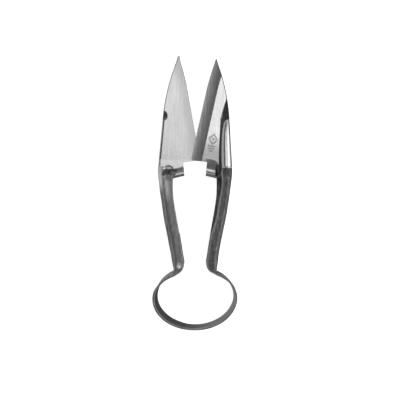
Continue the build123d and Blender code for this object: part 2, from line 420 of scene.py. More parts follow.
def reach(point, inward, outline):
    """Distance from a point to the first crossing of an outline, in a direction."""
    a, b = outline[:-1] - point, outline[1:] - point
    side_a = a[:, 0] * inward[1] - a[:, 1] * inward[0]
    side_b = b[:, 0] * inward[1] - b[:, 1] * inward[0]
    crossing = side_a * side_b <= 0
    t = side_a / np.where(np.abs(side_a - side_b) < 1e-12, 1e-12, side_a - side_b)
    ahead = (a + (b - a) * t[:, None]) @ inward
    ahead = ahead[crossing & (ahead > 0.3)]
    return float(ahead.min()) if len(ahead) else None


def channel_section(reach_outer, reach_flat, palm_r, web_t):
    """Closed section of the strip, as (distance inward from the palm side, height, wear, painted shade)."""
    h, f = HALF_DEPTH, FLANGE_T
    # where a flange is short, its inner corner spreads out into the strip's edge
    spread_outer = 1 - float(smoothstep(0, 1.5, reach_outer - web_t))
    spread_flat = 1 - float(smoothstep(0, 1.5, reach_flat - web_t))
    inner_r = max(palm_r - web_t, 0.15)
    tip_r = FLANGE_EDGE_R
    # each corner: place, radius, and its steps, wear and painted shade (dark inside the channel and on the
    # palm's rounded shoulders); then those three for the straight after it
    corners = [
        ((reach_outer, h), tip_r, 5, 0.8, 0.0, 5, 0.0, 0.22),
        ((0, h), palm_r, 12, 0.0, 0.45, 8, 0.0, 0.0),
        ((0, -h), palm_r, 12, 0.0, 0.35, 3, 0.0, 0.0),
        ((reach_flat, -h), tip_r, 5, 0.25, 0.0, 1, 0.1, 0.1),
        ((reach_flat, -h + f), tip_r, 5, 0.1, 0.5, 3, 0.0, 0.8),
        ((web_t, -h + f + spread_flat), inner_r, 8, 0.0, 0.8, 6, 0.0, 0.8),
        ((web_t, h - f - spread_outer), inner_r, 8, 0.0, 0.8, 3, 0.0, 0.8),
        ((reach_outer, h - f), tip_r, 5, 0.2, 0.7, 1, 0.5, 0.2),
    ]

    def fitted(way, radius):
        """Where a corner's rounding starts, along the way to its neighbour."""
        length = np.linalg.norm(way)
        return way / max(length, 1e-9) * min(radius, 0.46 * length)

    points = []
    for i, (corner, radius, steps, wear, scale_and_shade, straight, wear_on, shade_on) in enumerate(corners):
        c = np.array(corner)
        following, next_radius = corners[(i + 1) % len(corners)][:2]
        p = c + fitted(np.array(corners[i - 1][0]) - c, radius)
        q = c + fitted(np.array(following) - c, radius)
        # a quarter of a superellipse, close to a circular arc
        for u in np.linspace(0, 1, steps):
            turn = u * math.pi / 2
            point = c + (p - c) * (1 - math.sin(turn)) + (q - c) * (1 - math.cos(turn))
            points.append((*point, wear, scale_and_shade))
        end = np.array(following) - fitted(np.array(following) - c, next_radius)
        for step, u in enumerate(np.linspace(0, 1, straight + 2)[1:-1]):
            worn = wear if i == 0 and step == 0 else wear_on
            points.append((*(q + (end - q) * u), worn, shade_on))
    return np.array(points)


def strip_rings(side):
    """Sections along one half of the strip, from the bottom of the bow to the grip's top."""
    path, neck = strip_path()
    tangent = np.gradient(path, axis=0)
    tangent /= np.linalg.norm(tangent, axis=1)[:, None]
    tangent[0] = (1, 0)
    inner = inner_outline(side)
    narrow = narrow_outline(inner)
    corner = int(np.argmin(np.linalg.norm(path - ellipse_point(0, PALM_ANGLE), axis=1)))
    run = distance_along(path)
    even_rings = neck - 25  # the bow's thickness is even up to here
    rings = []
    for i, (p, t) in enumerate(zip(path, tangent)):
        inward = np.array([-t[1], t[0]])
        p = p - inward * float(value_along(PALM_OUT[side], run[i]))
        if i < even_rings:
            flat = outer = STRIP_T
        else:
            flat = reach(p, inward, inner) or STRIP_T
            outer = min(reach(p, inward, narrow) or flat, flat)
        past = run[i] - run[corner]
        palm_r = BOW_EDGE_R + (PALM_R - BOW_EDGE_R) * float(smoothstep(-1.5, 7.5, past))
        web_t = STRIP_T + (WEB_T - STRIP_T) * float(smoothstep(-2, 3, past))
        section = channel_section(outer, flat, palm_r, min(web_t, flat, outer))
        lean = float(value_along(LEAN[side], run[i]))
        aside = section[:, :1] + float(value_along(BOW_SHIFT[side], run[i])) - section[:, 1:2] * lean
        rings.append(np.c_[p + aside * inward, section[:, 1:]])
    return np.array(rings), neck


def dent(rings, side):
    """Hammer and scale unevenness of the forged grip, fading out in the bow, and the left grip's chin."""
    along = np.gradient(rings, axis=0)
    around = np.roll(rings, -1, axis=1) - np.roll(rings, 1, axis=1)
    normal = np.cross(along, around)
    normal /= np.maximum(np.linalg.norm(normal, axis=2), 1e-9)[:, :, None]
    flat = rings.reshape(-1, 3)
    seed = 3.0 if side == "left" else 17.0
    coarse = grid_noise(flat * [1, 0.5, 1], 0.45, seed).reshape(rings.shape[:2])
    fine = grid_noise(flat, 1.5, seed + 5).reshape(rings.shape[:2])
    amount = 0.012 + 0.05 * smoothstep(-41, -34, rings[:, :, 1])
    rings = rings + normal * (amount * (coarse + 0.45 * fine))[:, :, None]
    if side == "left":
        x, y, z = np.moveaxis(rings, 2, 0)
        along, aside = chin_place(x, y)
        rings[:, :, 2] -= 0.3 * bump_at(along, -1.3, 1.1) * bump_at(aside, 0, 1.5) * by_flat_side(z)
    return rings


def by_flat_side(z):
    """1 on the face of the strip that lies on the flat side of its blade."""
    return smoothstep(-3.6, -4.3, z)


def chin_place(x, y):
    """Place by the chin, along the grip and across it, from the painted highlight there."""
    x, y = x - CHIN_HIGHLIGHT[0], y - CHIN_HIGHLIGHT[1]
    return y * 0.98 + x * 0.2, x * 0.98 - y * 0.2


def palm_painted_highlight(x, y, z):
    """Painted highlight, from 0 to 1, that runs on from the weld down the palm side's shoulder."""
    return smoothstep(-1.5, 5.0, y) * smoothstep(14.0, 15.0, x) * smoothstep(0, -2, z)


def beside_weld(x, y):
    """1 at the top of the grip, on the inner side of its palm shoulder."""
    return smoothstep(4.6, 6.4, y) * smoothstep(14.2, 13.2, x)


def grip_painted_light(x, y, z):
    """Painted light on the flat side: a faint painted sheen over it, a brighter painted sheen below the weld,
    a painted highlight at the chin, and the palm side's painted highlight.
    """
    below_weld = bump_at(x, 12.9 + 0.12 * y, 1.7) * smoothstep(-9, 4, y) * (1 - beside_weld(x, y))
    along, aside = chin_place(x, y)
    chin = np.clip(1.8 * bump_at(along, 0, 1.2) * bump_at(aside, 0, 0.5), 0, 1)
    face = by_flat_side(z) * strongest(0.16, 0.75 * below_weld, chin)
    return np.maximum(face, PALM_HIGHLIGHT * palm_painted_highlight(x, y, z))


def grip_painted_shade(x, y, z, section_shade):
    """Painted shade of the section, less inside the channel away from the weld, and more round the weld: on
    the outer face, and a painted shadow on the flat side beside it.
    """
    inside = section_shade > 0.6
    scale_and_shade = section_shade * np.where(inside, 0.3 + 0.7 * smoothstep(1.0, 5.5, y), 1.0)
    # painted shade on the outer face, near the weld
    outer_face = smoothstep(3.0, 4.2, z) * smoothstep(16.6, 14.2, x)
    scale_and_shade = np.maximum(scale_and_shade, 0.55 * smoothstep(-8, 4, y) * outer_face)
    scale_and_shade = scale_and_shade * (1 - palm_painted_highlight(x, y, z))
    # painted shadow on the flat side beside the weld
    shadow = smoothstep(4.6, 6.8, y) * smoothstep(14.2, 13.2, x) * by_flat_side(z)
    return np.maximum(scale_and_shade, 0.5 * shadow)


def make_strip(side, materials):
    """The half bow and the grip of one side, cut from one run of sections so that they meet exactly."""
    rings, neck = strip_rings(side)
    readings = rings[:, :, 3:]
    rings = dent(rings[:, :, :3], side)
    count, size = rings.shape[:2]

    def piece(name, first, last, material):
        shape, reading = rings[first:last], readings[first:last]
        x, y, z = np.moveaxis(shape, 2, 0)
        from_neck = np.arange(first, last)[:, None] - neck
        # the darkening is painted shade, kept off the bow; the lightening is painted highlights and sheen
        shades = {
            "wear": reading[:, :, 0],
            "scale_and_shade": grip_painted_shade(x, y, z, reading[:, :, 1]) * smoothstep(0, 10, from_neck),
            "painted_light": grip_painted_light(x, y, z),
            "satin": np.repeat(smoothstep(16, 0, from_neck), size, axis=1),
        }
        faces = ring_faces(last - first, size)
        return make_piece(name, shape.reshape(-1, 3), faces, side, material, 38, shades)

    bow = piece(f"bow_{side}_half", 0, neck + 1, materials["spring"])
    grip = piece(f"{side}_grip_channel", neck, count, materials["grip"])
    arm = f"{side}_arm"
    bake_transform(bow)
    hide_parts("bow_spring")
    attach(grip, arm)
    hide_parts(f"{side}_grip")


# -------- blades

RIB_TURN = np.linspace(math.pi, 0, RIB_STEPS + 1)[1:]  # round the rib, from the groove to the back
GROOVE_SHARE = np.linspace(0, 1, GROOVE_STEPS + 1)[1:]  # across the groove


def blade_edges(shape):
    """Points of the cutting edge and of the back, in step from the root to the tip."""
    heel, start, tip = shape["heel"], shape["point_start"], shape["tip"]
    straight = np.linspace(heel, start, 120)
    curved = tangent_arc(start, np.subtract(start, heel), tip, 120)
    edge = np.vstack([straight, curved[1:]])
    root = (WELD_TOP_X, WELD_TOP_Y)
    lower = np.linspace(root, shape["shoulder"], 120)
    upper = arc_through(shape["shoulder"], shape["back"], tip, 160)
    back = np.vstack([lower, upper[1:]])
    reach_y = np.linspace(0, 0.998, shape["stations"])
    edge_y = heel[1] + (tip[1] - heel[1]) * reach_y
    back_y = root[1] + (tip[1] - root[1]) * reach_y
    blunt = shape["blunt"] * smoothstep(tip[1] - 3, tip[1], edge_y)
    return (
        np.c_[np.interp(edge_y, edge[:, 1], edge[:, 0]) - blunt, edge_y],
        np.c_[np.interp(back_y, back[:, 1], back[:, 0]) + blunt, back_y],
    )


def spread(low, high, count):
    """Even steps between two arrays of places, one column each."""
    return low[:, None] + (high - low)[:, None] * np.linspace(0, 1, count + 1)[None, :]


def bevel_height(distance):
    """Height of the hollow-ground bevel at a distance from the cutting edge."""
    u = np.clip(distance / BEVEL_W, 0, 1)
    return EDGE_T + (PLATE_T - EDGE_T) * u - 4 * BEVEL_HOLLOW * u * (1 - u)


def root_line(x):
    """Height along the snips of the blade's root edge, from the heel to the back."""
    places, heights = zip(*ROOT)
    return np.interp(x, places, heights)


def blade_layout(shape):
    """Places of a blade's points, stations by columns: bevel, plate, groove and rib, from edge to back."""
    edge, back = blade_edges(shape)
    across = back - edge
    width = np.linalg.norm(across, axis=1)
    unit = across / width[:, None]
    along = np.gradient(edge, axis=0)
    along /= np.linalg.norm(along, axis=1)[:, None]
    square = np.abs(unit[:, 0] * along[:, 1] - unit[:, 1] * along[:, 0])
    y_back = back[:, 1]
    rib_w = np.minimum(value_along(RIB_WIDTH, y_back), 0.3 * width)
    groove_w = np.minimum(value_along(GROOVE_WIDTH, y_back), 0.3 * width)
    bevel_w = np.minimum(BEVEL_W / square, width - rib_w - groove_w - 0.04 * width)
    flat_end = width - rib_w - groove_w

    bevel = spread(np.zeros(len(edge)), bevel_w, BEVEL_STEPS)
    flat = spread(bevel_w, flat_end, shape["flat_steps"])[:, 1:]
    groove = spread(flat_end, width - rib_w, GROOVE_STEPS)[:, 1:]
    rib = (width - rib_w / 2)[:, None] + (rib_w / 2)[:, None] * np.cos(RIB_TURN)[None, :]
    columns = np.hstack([bevel, flat, groove, rib])
    xy = edge[:, None, :] + unit[:, None, :] * columns[:, :, None]
    fade = (1 - np.arange(ROOT_ROWS) / ROOT_ROWS) ** 2
    xy[:ROOT_ROWS, :, 1] += (root_line(xy[0, :, 0]) - xy[0, :, 1])[None, :] * fade[:, None]
    groove_at = bevel.shape[1] + flat.shape[1]
    return SimpleNamespace(
        x=xy[:, :, 0], y=xy[:, :, 1], y_back=y_back,
        from_edge=columns, square=square[:, None], from_back=width[:, None] - columns,
        groove_at=groove_at, rib_at=groove_at + GROOVE_STEPS,
        in_rib=smoothstep(*RIB_NOSE, y_back),
        above_root=xy[:, :, 1] - root_line(xy[:, :, 0]),
        plate=np.where(np.arange(columns.shape[1]) < groove_at, 1, 0),
    )


def ribbed_face(lay):
    """Heights of the ribbed face: hollow-ground bevel, plate, groove and rib."""
    top = np.minimum(bevel_height(lay.from_edge * lay.square), PLATE_T)
    plate_back = top[:, lay.groove_at - 1]
    depth = np.minimum(value_along(GROOVE_DEPTH, lay.y_back), 0.8 * plate_back)
    climb = 0.8 * smoothstep(*GROOVE_CLIMB, lay.y_back)
    rise = climb[:, None] * np.clip((GROOVE_SHARE - 0.2) / 0.8, 0, 1)[None, :]
    sink = smoothstep(0, 0.26, GROOVE_SHARE)[None, :] - rise
    groove = slice(lay.groove_at, lay.rib_at)
    top[:, groove] = np.minimum(top[:, groove], plate_back[:, None]) - depth[:, None] * sink
    base = plate_back - depth * (1 - climb)
    crest = np.maximum(value_along(RIB_CREST, lay.y_back), base)
    crest = base + (crest - base) * lay.in_rib
    outer_base = base * (1 - lay.in_rib) + RIM_Z * lay.in_rib
    middle = (base[:, None] + outer_base[:, None]) / 2
    level = middle + (base - outer_base)[:, None] / 2 * -np.cos(RIB_TURN)
    top[:, lay.rib_at:] = level + (crest - level.mean(axis=1))[:, None] * np.sin(RIB_TURN)[None, :]
    return top


def ribbed_scale_and_shade(lay):
    """Darkening of the ribbed face: forging skin and painted shade in the groove, painted shade on the rib's
    flanks, in the fillet by the lug and on the plate towards the root.
    """
    scale_and_shade = np.zeros(lay.x.shape)
    # painted shade on the plate, darker towards the root
    scale_and_shade[:, :lay.groove_at] = 0.3 * smoothstep(27, 18, lay.y[:, :lay.groove_at])
    # forging skin and painted shade in the groove
    scale_and_shade[:, lay.groove_at:lay.rib_at] = smoothstep(0.0, 0.3, GROOVE_SHARE)[None, :]
    # painted shade on the rib's inner flank and along its outer edge
    across_rib = np.linspace(0, 1, RIB_STEPS)[None, :]
    inner_side = 0.32 * smoothstep(0.06, 0.14, across_rib) * smoothstep(0.52, 0.36, across_rib)
    outer_side = smoothstep(1.15, 0.45, lay.from_back[:, lay.rib_at:])
    outer_side = (0.55 + 0.35 * smoothstep(22, 29, lay.y_back))[:, None] * outer_side
    scale_and_shade[:, lay.rib_at:] = np.maximum(inner_side, outer_side)
    # painted shade in the fillet above the lug's root
    slant = 0.4 * np.clip(2.9 - lay.above_root, 0, 2.9)
    fillet = 0.82 * smoothstep(3.1, 0.2, lay.above_root) * lug_window(lay.x - slant) * lay.plate
    return np.maximum(scale_and_shade, fillet)


def flat_face(lay, top, shoulder):
    """Heights, painted shade and frost of the flat face: rounded rim, nick, honed edge and weld pocket."""
    rim_w = 0.42 + 0.68 * lay.in_rib
    rim_depth = 0.15 + 0.27 * lay.in_rib
    fall = np.clip(1 - lay.from_back / rim_w[:, None], 0, 1)
    away = lay.x - shoulder[0] - NICK_AT[0], (lay.y - NICK_AT[1]) * 0.8
    nick = 1 - np.hypot(*away) / NICK_R
    honed = np.clip(1 - lay.from_edge / HONED_W, 0, 1)
    hollow, pocket_shade = weld_pocket(lay.x, lay.y)
    bottom = FLAT_Z + rim_depth[:, None] * fall**1.6
    bottom += NICK_DEPTH * np.clip(nick, 0, 1) ** 0.7 * (nick > 0) + 0.045 * honed + hollow
    bottom = np.minimum(bottom, np.maximum(top - 0.06, FLAT_Z))

    # painted shade towards the cutting edge and in the nick, with a painted highlight in it; a darker honed
    # edge; the pocket's painted shade
    by_edge = 0.16 * smoothstep(6.0, 0.5, lay.from_edge) * smoothstep(12, 24, lay.y)
    glint = bump_at(lay.x, GLINT_AT[0], 0.4) * bump_at(lay.y, GLINT_AT[1], 0.6)
    nick_shade = 0.9 * smoothstep(0.0, 0.25, nick) * (1 - 0.6 * glint)
    scale_and_shade = strongest(pocket_shade, nick_shade, 0.3 * (honed > 0.3), by_edge)
    return bottom, scale_and_shade, smoothstep(15.4, 14.9, lay.y) * (1 - pocket_shade)


def lug_window(x):
    """1 across the stop lug's crest, fading out on both sides."""
    return smoothstep(3.6, 6.4, x) * smoothstep(*LUG_CREST, x)


def struck_mark(x, y):
    """Depth of the punched mark: a lozenge outline with a dot, over three short bars."""
    dx, dy = x - MARK_AT[0], y - MARK_AT[1]
    u = dx * math.cos(MARK_TURN) - dy * math.sin(MARK_TURN)
    v = dx * math.sin(MARK_TURN) + dy * math.cos(MARK_TURN)
    lozenge = np.abs(np.abs(u) / MARK_HALF[0] + np.abs(v) / MARK_HALF[1] - 1) * MARK_SIDE
    dot = np.hypot(u, v) - MARK_DOT_R
    bars = [np.maximum(np.abs(u) - half, np.abs(v + drop) - 0.14) for drop, half in MARK_BARS]
    nearest = np.minimum.reduce([lozenge - MARK_LINE, dot, *bars])
    return MARK_DEPTH * smoothstep(MARK_SOFT, -MARK_SOFT / 2, nearest)


def lug_faces(root_x, root_y, columns):
    """Outer and flat face of the hooked stop lug that carries on from the heel: points, painted shade and
    frost.
    """
    x0, x1 = root_x[columns[0]], root_x[columns[-1]]
    share = (root_x[columns] - x0) / (x1 - x0)
    crest = smoothstep(*LUG_CREST, root_x[columns])[None, :]

    def laid_out(profile):
        """Distance below the heel's edge, places and heights of a face's rows."""
        down, height = np.split(smooth_curve(profile, LUG_ROWS + 1)[1:], 2, axis=1)
        face_x = x0 - LUG_FACE_LEAN * down
        x = face_x + (x1 - face_x) * share[None, :]
        return down, x, np.interp(x, root_x, root_y) - down, np.repeat(height, len(columns), axis=1)

    down, x, y, z = laid_out(LUG_OUTER)
    z = np.minimum(z, PLATE_T + (z - PLATE_T) * crest)
    # painted shade where the crest fades into the crevice by the rib, in the fillet at its root and on its
    # underside
    fillet = 0.14 + 0.68 * smoothstep(3.5, 2.7, down)
    scale_and_shade = strongest(1 - crest, fillet, 0.85 * smoothstep(5.1, 5.5, down))
    outer = np.dstack([x, y, z]), scale_and_shade, np.zeros_like(z)

    down, x, y, z = laid_out(LUG_FLAT)
    hollow, pocket_shade = weld_pocket(x, y)
    z = np.minimum(z + hollow, np.maximum(z, 0.95))
    # the pocket's painted shade, a darker band across the hook, and painted shade on its underside
    hook_darkening = 0.4 * smoothstep(2.4, 3.0, down) * smoothstep(4.8, 4.6, down)
    scale_and_shade = np.maximum(pocket_shade, hook_darkening + 0.8 * smoothstep(5.5, 5.7, down))
    frost = (1 - scale_and_shade) * np.maximum(smoothstep(2.9, 2.4, down), smoothstep(4.6, 4.8, down))
    return outer, (np.dstack([x, y, z]), scale_and_shade, frost)


def weld_pocket(x, y):
    """Depth and painted shade of the lens-shaped pocket in the flat side, between lug, plate and weld: dark
    stripes over its ripples and a dark line under its ledge.
    """
    reach_x = np.interp(y, *POCKET_REACH)
    inside = smoothstep(1.0, 0.8, np.abs(x - POCKET_X) / reach_x) * smoothstep(10.8, 10.2, y)
    wave = np.sin(2 * math.pi * (y - POCKET_REACH[0][0]) / RIPPLE_PITCH)
    ledge_x, ledge_top = LEDGE_AT
    ledge_y = ledge_top - 0.7 * ((x - ledge_x) / 1.5) ** 2
    ledge_w = smoothstep(2.0, 1.5, np.abs(x - ledge_x))
    ledge = smoothstep(ledge_y, ledge_y - 0.3, y) * ledge_w
    line = bump_at(y, ledge_y - 0.15, 0.2) * ledge_w
    depth = inside * (POCKET_DEPTH + 0.1 * wave) + LEDGE_DEPTH * ledge
    return depth, strongest(inside * (0.72 - 0.18 * wave), 0.75 * line, 0.35 * ledge)


def blade_faces(stations, columns, lug_first, lug_last):
    """Faces of a blade and its lug as one closed mesh, and which of them are the ground bevel's.

    Station 0 is the root; stations below it are the lug's rows."""
    half = stations * columns
    lug_columns = lug_last - lug_first + 1

    def over(j, k):
        if j >= 0:
            return j * columns + k
        return 2 * half + (-j - 1) * lug_columns + (k - lug_first)

    def under(j, k):
        if j >= 0:
            return half + j * columns + k
        return 2 * half + (LUG_ROWS - j - 1) * lug_columns + (k - lug_first)

    faces, ground = [], []
    last, tip = columns - 1, stations - 1
    for j in range(tip):
        for k in range(last):
            if k < BEVEL_STEPS:
                ground.append(len(faces))
            faces.append((over(j, k), over(j, k + 1), over(j + 1, k + 1), over(j + 1, k)))
            faces.append((under(j, k), under(j + 1, k), under(j + 1, k + 1), under(j, k + 1)))
        faces.append((over(j, 0), over(j + 1, 0), under(j + 1, 0), under(j, 0)))
        faces.append((over(j, last), under(j, last), under(j + 1, last), over(j + 1, last)))
    for k in range(last):
        faces.append((over(tip, k), over(tip, k + 1), under(tip, k + 1), under(tip, k)))
        if not lug_first <= k < lug_last:
            faces.append((over(0, k), under(0, k), under(0, k + 1), over(0, k + 1)))
    for j in range(0, -LUG_ROWS, -1):
        for k in range(lug_first, lug_last):
            faces.append((over(j, k), over(j - 1, k), over(j - 1, k + 1), over(j, k + 1)))
            faces.append((under(j, k), under(j, k + 1), under(j - 1, k + 1), under(j - 1, k)))
        k = lug_first
        faces.append((over(j, k), under(j, k), under(j - 1, k), over(j - 1, k)))
        k = lug_last
        faces.append((over(j, k), over(j - 1, k), under(j - 1, k), under(j, k)))
    for k in range(lug_first, lug_last):
        j = -LUG_ROWS
        faces.append((over(j, k), under(j, k), under(j, k + 1), over(j, k + 1)))
    return faces, ground


def make_blade(side, material, bevel_material):
    """Blade forging of one side as one closed mesh: plate, bevel, rib and stop lug."""
    lay = blade_layout(BLADES[side])
    top = ribbed_face(lay)
    bottom, flat_shade, frost = flat_face(lay, top, BLADES[side]["shoulder"])
    top += value_along(LUG_FILLET, lay.above_root) * lug_window(lay.x) * lay.plate
    if side == "right":
        top -= struck_mark(lay.x, lay.y) * lay.plate
    root_x, root_y = lay.x[0], lay.y[0]
    lug_first = int(np.argmin(np.abs(root_x - NOTCH_X)))
    lug_last = int(np.argmin(np.abs(root_x - LUG_OUTER_X)))
    outer, inner = lug_faces(root_x, root_y, np.arange(lug_first, lug_last + 1))

    grids = [
        (np.dstack([lay.x, lay.y, top]), ribbed_scale_and_shade(lay), np.zeros_like(top)),
        (np.dstack([lay.x, lay.y, bottom]), flat_shade, frost),
        outer,
        inner,
    ]
    points = np.vstack([grid[0].reshape(-1, 3) for grid in grids])
    shades = {
        label: np.concatenate([grid[i].ravel() for grid in grids])
        for i, label in ((1, "scale_and_shade"), (2, "frost"))
    }
    faces, ground = blade_faces(*top.shape, lug_first, lug_last)
    blade = make_piece(f"{side}_blade_forging", points, faces, side, material, 32, shades)
    blade.data.materials.append(bevel_material)
    for face in ground:
        blade.data.polygons[face].material_index = 1
    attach(blade, f"{side}_arm")
    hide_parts(f"{side}_blade")


# -------- welds

def weld_section(y):
    """Ring of points round a weld at a place along the snips, with their darkening (painted shade in the
    pocket) and painted highlights.
    """
    down = float(smoothstep(WELD_TOP_Y, GRIP_TOP_Y, y))
    x_in = WELD_INNER[0] - WELD_INNER[1] * down * down
    swell = WELD_PROUD * math.sin(math.pi * down) + 0.02
    x_out = WELD_TOP_X + (GRIP_TOP_X - WELD_TOP_X) * down + swell
    crest = WELD_CREST + (HALF_DEPTH - WELD_CREST) * down

    # outer face: the rib's arch, squarer towards the grip
    power = 2 / (2.0 + 1.4 * down)
    turn = np.linspace(math.pi, 0, ARCH_POINTS)
    cosine, sine = np.cos(turn), np.sin(turn)
    x = (x_out + x_in) / 2 + (x_out - x_in) / 2 * np.sign(cosine) * np.abs(cosine) ** power
    z = WELD_FOOT + (crest - WELD_FOOT) * np.abs(sine) ** power
    # painted highlights along the lip and the seam; elsewhere the arch is darker towards its crest
    lip = bump_at(y, WELD_TOP_Y - LIP_DROP, LIP_W)
    seam = bump_at(x, SEAM_X, SEAM_W) * (1 - lip)
    z += 0.16 * lip * sine + 0.12 * seam
    arch = np.c_[x, np.full(ARCH_POINTS, y), z]
    arch_darkening = 0.75 * sine * (1 - lip) * (1 - seam)
    arch_highlight = np.maximum(0.9 * lip, 0.4 * seam)

    # flat side: pocket and shelf, rising into the palm wall and rounded at its rim; painted highlight on the
    # wall and shelf, painted shade in the pocket
    x = x_in + (x_out - x_in) * np.linspace(1, 0, BASE_POINTS + 2)[1:-1]
    wall = smoothstep(x_out - 3.2, x_out - 1.4, x)
    hollow, scale_and_shade = weld_pocket(x, y)
    z = (1 - wall) * (float(value_along(FLOOR, y)) + hollow) + wall * float(value_along(WALL, y))
    rim = np.clip(1 - (x_out - x) / (1.0 + 2.5 * down), 0, 1)
    z += (RIM_Z + 3.0 * down) * (1 - np.sqrt(1 - rim**2))
    base = np.c_[x, np.full(BASE_POINTS, y), z]
    shelf = 0.6 * float(smoothstep(10.1, 10.7, y)) * (1 - wall)
    base_highlight = np.maximum(0.46 * wall, shelf)
    return (
        np.vstack([arch, base]),
        np.r_[arch_darkening, 0.4 * scale_and_shade * (1 - wall)],
        np.r_[arch_highlight, base_highlight],
    )


def make_weld(side, material):
    """Upset weld of one side: the rib's arch on the outer face, a pocket and palm wall on the flat one."""
    places = np.linspace(WELD_TOP_Y + WELD_OVERLAP[0], GRIP_TOP_Y - WELD_OVERLAP[1], WELD_ROWS)
    rings, scale_and_shade, painted_light = (np.array(rows) for rows in zip(*map(weld_section, places)))
    flat = rings.reshape(-1, 3)
    seed = 31.0 if side == "left" else 47.0
    rough = 0.07 * grid_noise(flat, 1.1, seed) + 0.035 * grid_noise(flat, 2.7, seed + 3)
    flat = flat + rough[:, None] * [0.6, 0.5, 0.6]
    faces = ring_faces(WELD_ROWS, rings.shape[1])
    shades = {"wear": np.zeros(len(flat)), "scale_and_shade": scale_and_shade, "painted_light": painted_light}
    weld = make_piece(f"{side}_weld_band", flat, faces, side, material, 55, shades)
    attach(weld, f"{side}_arm")
    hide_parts(f"{side}_weld")


# -------- materials

def grey(value):
    """Colour of one brightness."""
    return (value, value, value)


class Nodes:
    """Short hand for building a node tree."""

    def __init__(self, tree):
        self.tree = tree

    def node(self, kind, **values):
        """New node with some of its inputs set."""
        node = self.tree.nodes.new(f"ShaderNode{kind}")
        for label, value in values.items():
            node.inputs[label.replace("_", " ")].default_value = value
        return node

    def link(self, source, target):
        self.tree.links.new(source, target)

    def ramp(self, source, stops, blend="LINEAR"):
        """Brightness that follows a source through (place, brightness) stops."""
        node = self.node("ValToRGB")
        ramp = node.color_ramp
        ramp.interpolation = blend
        while len(ramp.elements) < len(stops):
            ramp.elements.new(0.5)
        for element, (place, value) in zip(ramp.elements, stops):
            element.position = place
            element.color = (*grey(value), 1)
        self.link(source, node.inputs["Fac"])
        return node.outputs["Color"]

    def mix(self, share, a, b):
        """Blend from a to b; each of the three is a socket or a value."""
        node = self.node("Mix")
        node.data_type = "RGBA"
        for value, socket in ((share, node.inputs[0]), (a, node.inputs[6]), (b, node.inputs[7])):
            if hasattr(value, "is_linked"):
                self.link(value, socket)
            elif isinstance(value, tuple):
                socket.default_value = (*value, 1)
            else:
                socket.default_value = value
        return node.outputs[2]


class Surface(Nodes):
    """Node tree of a new material. Its textures run in metres, in each object's own space."""

    def __init__(self, name, **values):
        self.material = bpy.data.materials.new(name)
        self.material.use_nodes = True
        super().__init__(self.material.node_tree)
        self.tree.nodes.clear()
        self.shader = self.node("BsdfPrincipled", **values)
        self.link(self.shader.outputs["BSDF"], self.node("OutputMaterial").inputs["Surface"])
        self.place = self.node("TexCoord").outputs["Object"]

    def mapped(self, scale, turn=(0, 0, 0)):
        node = self.node("Mapping", Scale=scale, Rotation=turn)
        self.link(self.place, node.inputs["Vector"])
        return node.outputs["Vector"]

    def noise(self, scale, detail, rough, stretch=(1, 1, 1), turn=(0, 0, 0), distort=0.0):
        node = self.node("TexNoise", Scale=scale, Detail=detail, Roughness=rough, Distortion=distort)
        self.link(self.mapped(stretch, turn), node.inputs["Vector"])
        return node.outputs["Fac"]

    def cells(self, scale, stretch):
        node = self.node("TexVoronoi", Scale=scale)
        self.link(self.mapped(stretch), node.inputs["Vector"])
        return node.outputs["Distance"]

    def reading(self, name):
        node = self.node("Attribute")
        node.attribute_name = name
        return node.outputs["Fac"]

    def bump(self, height, distance, strength, under=None):
        node = self.node("Bump", Strength=strength, Distance=distance)
        self.link(height, node.inputs["Height"])
        if under is not None:
            self.link(under, node.inputs["Normal"])
        return node.outputs["Normal"]

    def finish(self, colour, rough=None, normal=None):
        for source, socket in ((colour, "Base Color"), (rough, "Roughness"), (normal, "Normal")):
            if source is not None:
                self.link(source, self.shader.inputs[socket])
        return self.material


def steel_bright(name, angle, tone):
    """Polished blade steel: scratches along it, frosted by the weld, dark where the mesh carries forging skin
    and painted shade.
    """
    n = Surface(name, Metallic=1.0)
    turn = (0, 0, math.radians(angle))
    streak = n.noise(1.0, 6, 0.6, stretch=(3600, 90, 3600), turn=turn)
    hair = n.noise(1.0, 8, 0.7, stretch=(9000, 260, 9000), turn=turn)
    cloud = n.noise(140, 4, 0.55)
    grit = n.noise(3200, 3, 0.6)
    skin = n.noise(900, 6, 0.7, distort=0.6)
    clouded = n.ramp(cloud, [(0.3, tone * 0.9), (0.7, tone * 1.06)])
    scratched = n.ramp(streak, [(0.3, tone * 0.86), (0.7, tone * 1.08)])
    colour = n.mix(0.5, clouded, scratched)
    frost, scale_and_shade = n.reading("frost"), n.reading("scale_and_shade")
    colour = n.mix(frost, colour, n.ramp(grit, [(0.34, 0.6), (0.56, 0.84)]))
    # dark skin colour: forging skin, and painted shade in hollows and on faces turned from the light
    colour = n.mix(scale_and_shade, colour, n.ramp(skin, [(0.3, 0.035), (0.55, 0.11), (0.75, 0.28)]))
    roughness = n.ramp(streak, [(0.3, 0.2), (0.72, 0.34)])
    roughness = n.mix(scale_and_shade, n.mix(frost, roughness, grey(0.36)), grey(0.5))
    relief = n.mix(scale_and_shade, n.mix(frost, streak, grit), skin)
    normal = n.bump(hair, 0.000012, 0.5, n.bump(relief, 0.00003, 0.4))
    return n.finish(colour, roughness, normal)


def steel_ground(name, angle):
    """Ground bevel: coarser streaks at an angle to the long axis, in degrees."""
    n = Surface(name, Metallic=1.0)
    turn = (0, 0, math.radians(angle))
    streak = n.noise(1.0, 5, 0.62, stretch=(1500, 36, 1500), turn=turn)
    hair = n.noise(1.0, 8, 0.7, stretch=(5000, 150, 5000), turn=turn)
    streaked = n.ramp(streak, [(0.3, 0.3), (0.5, 0.47), (0.7, 0.74)])
    colour = n.mix(0.45, streaked, n.ramp(hair, [(0.3, 0.3), (0.7, 0.68)]))
    roughness = n.ramp(hair, [(0.3, 0.24), (0.7, 0.42)])
    normal = n.bump(hair, 0.00003, 0.5, n.bump(streak, 0.0001, 0.45))
    return n.finish(colour, roughness, normal)


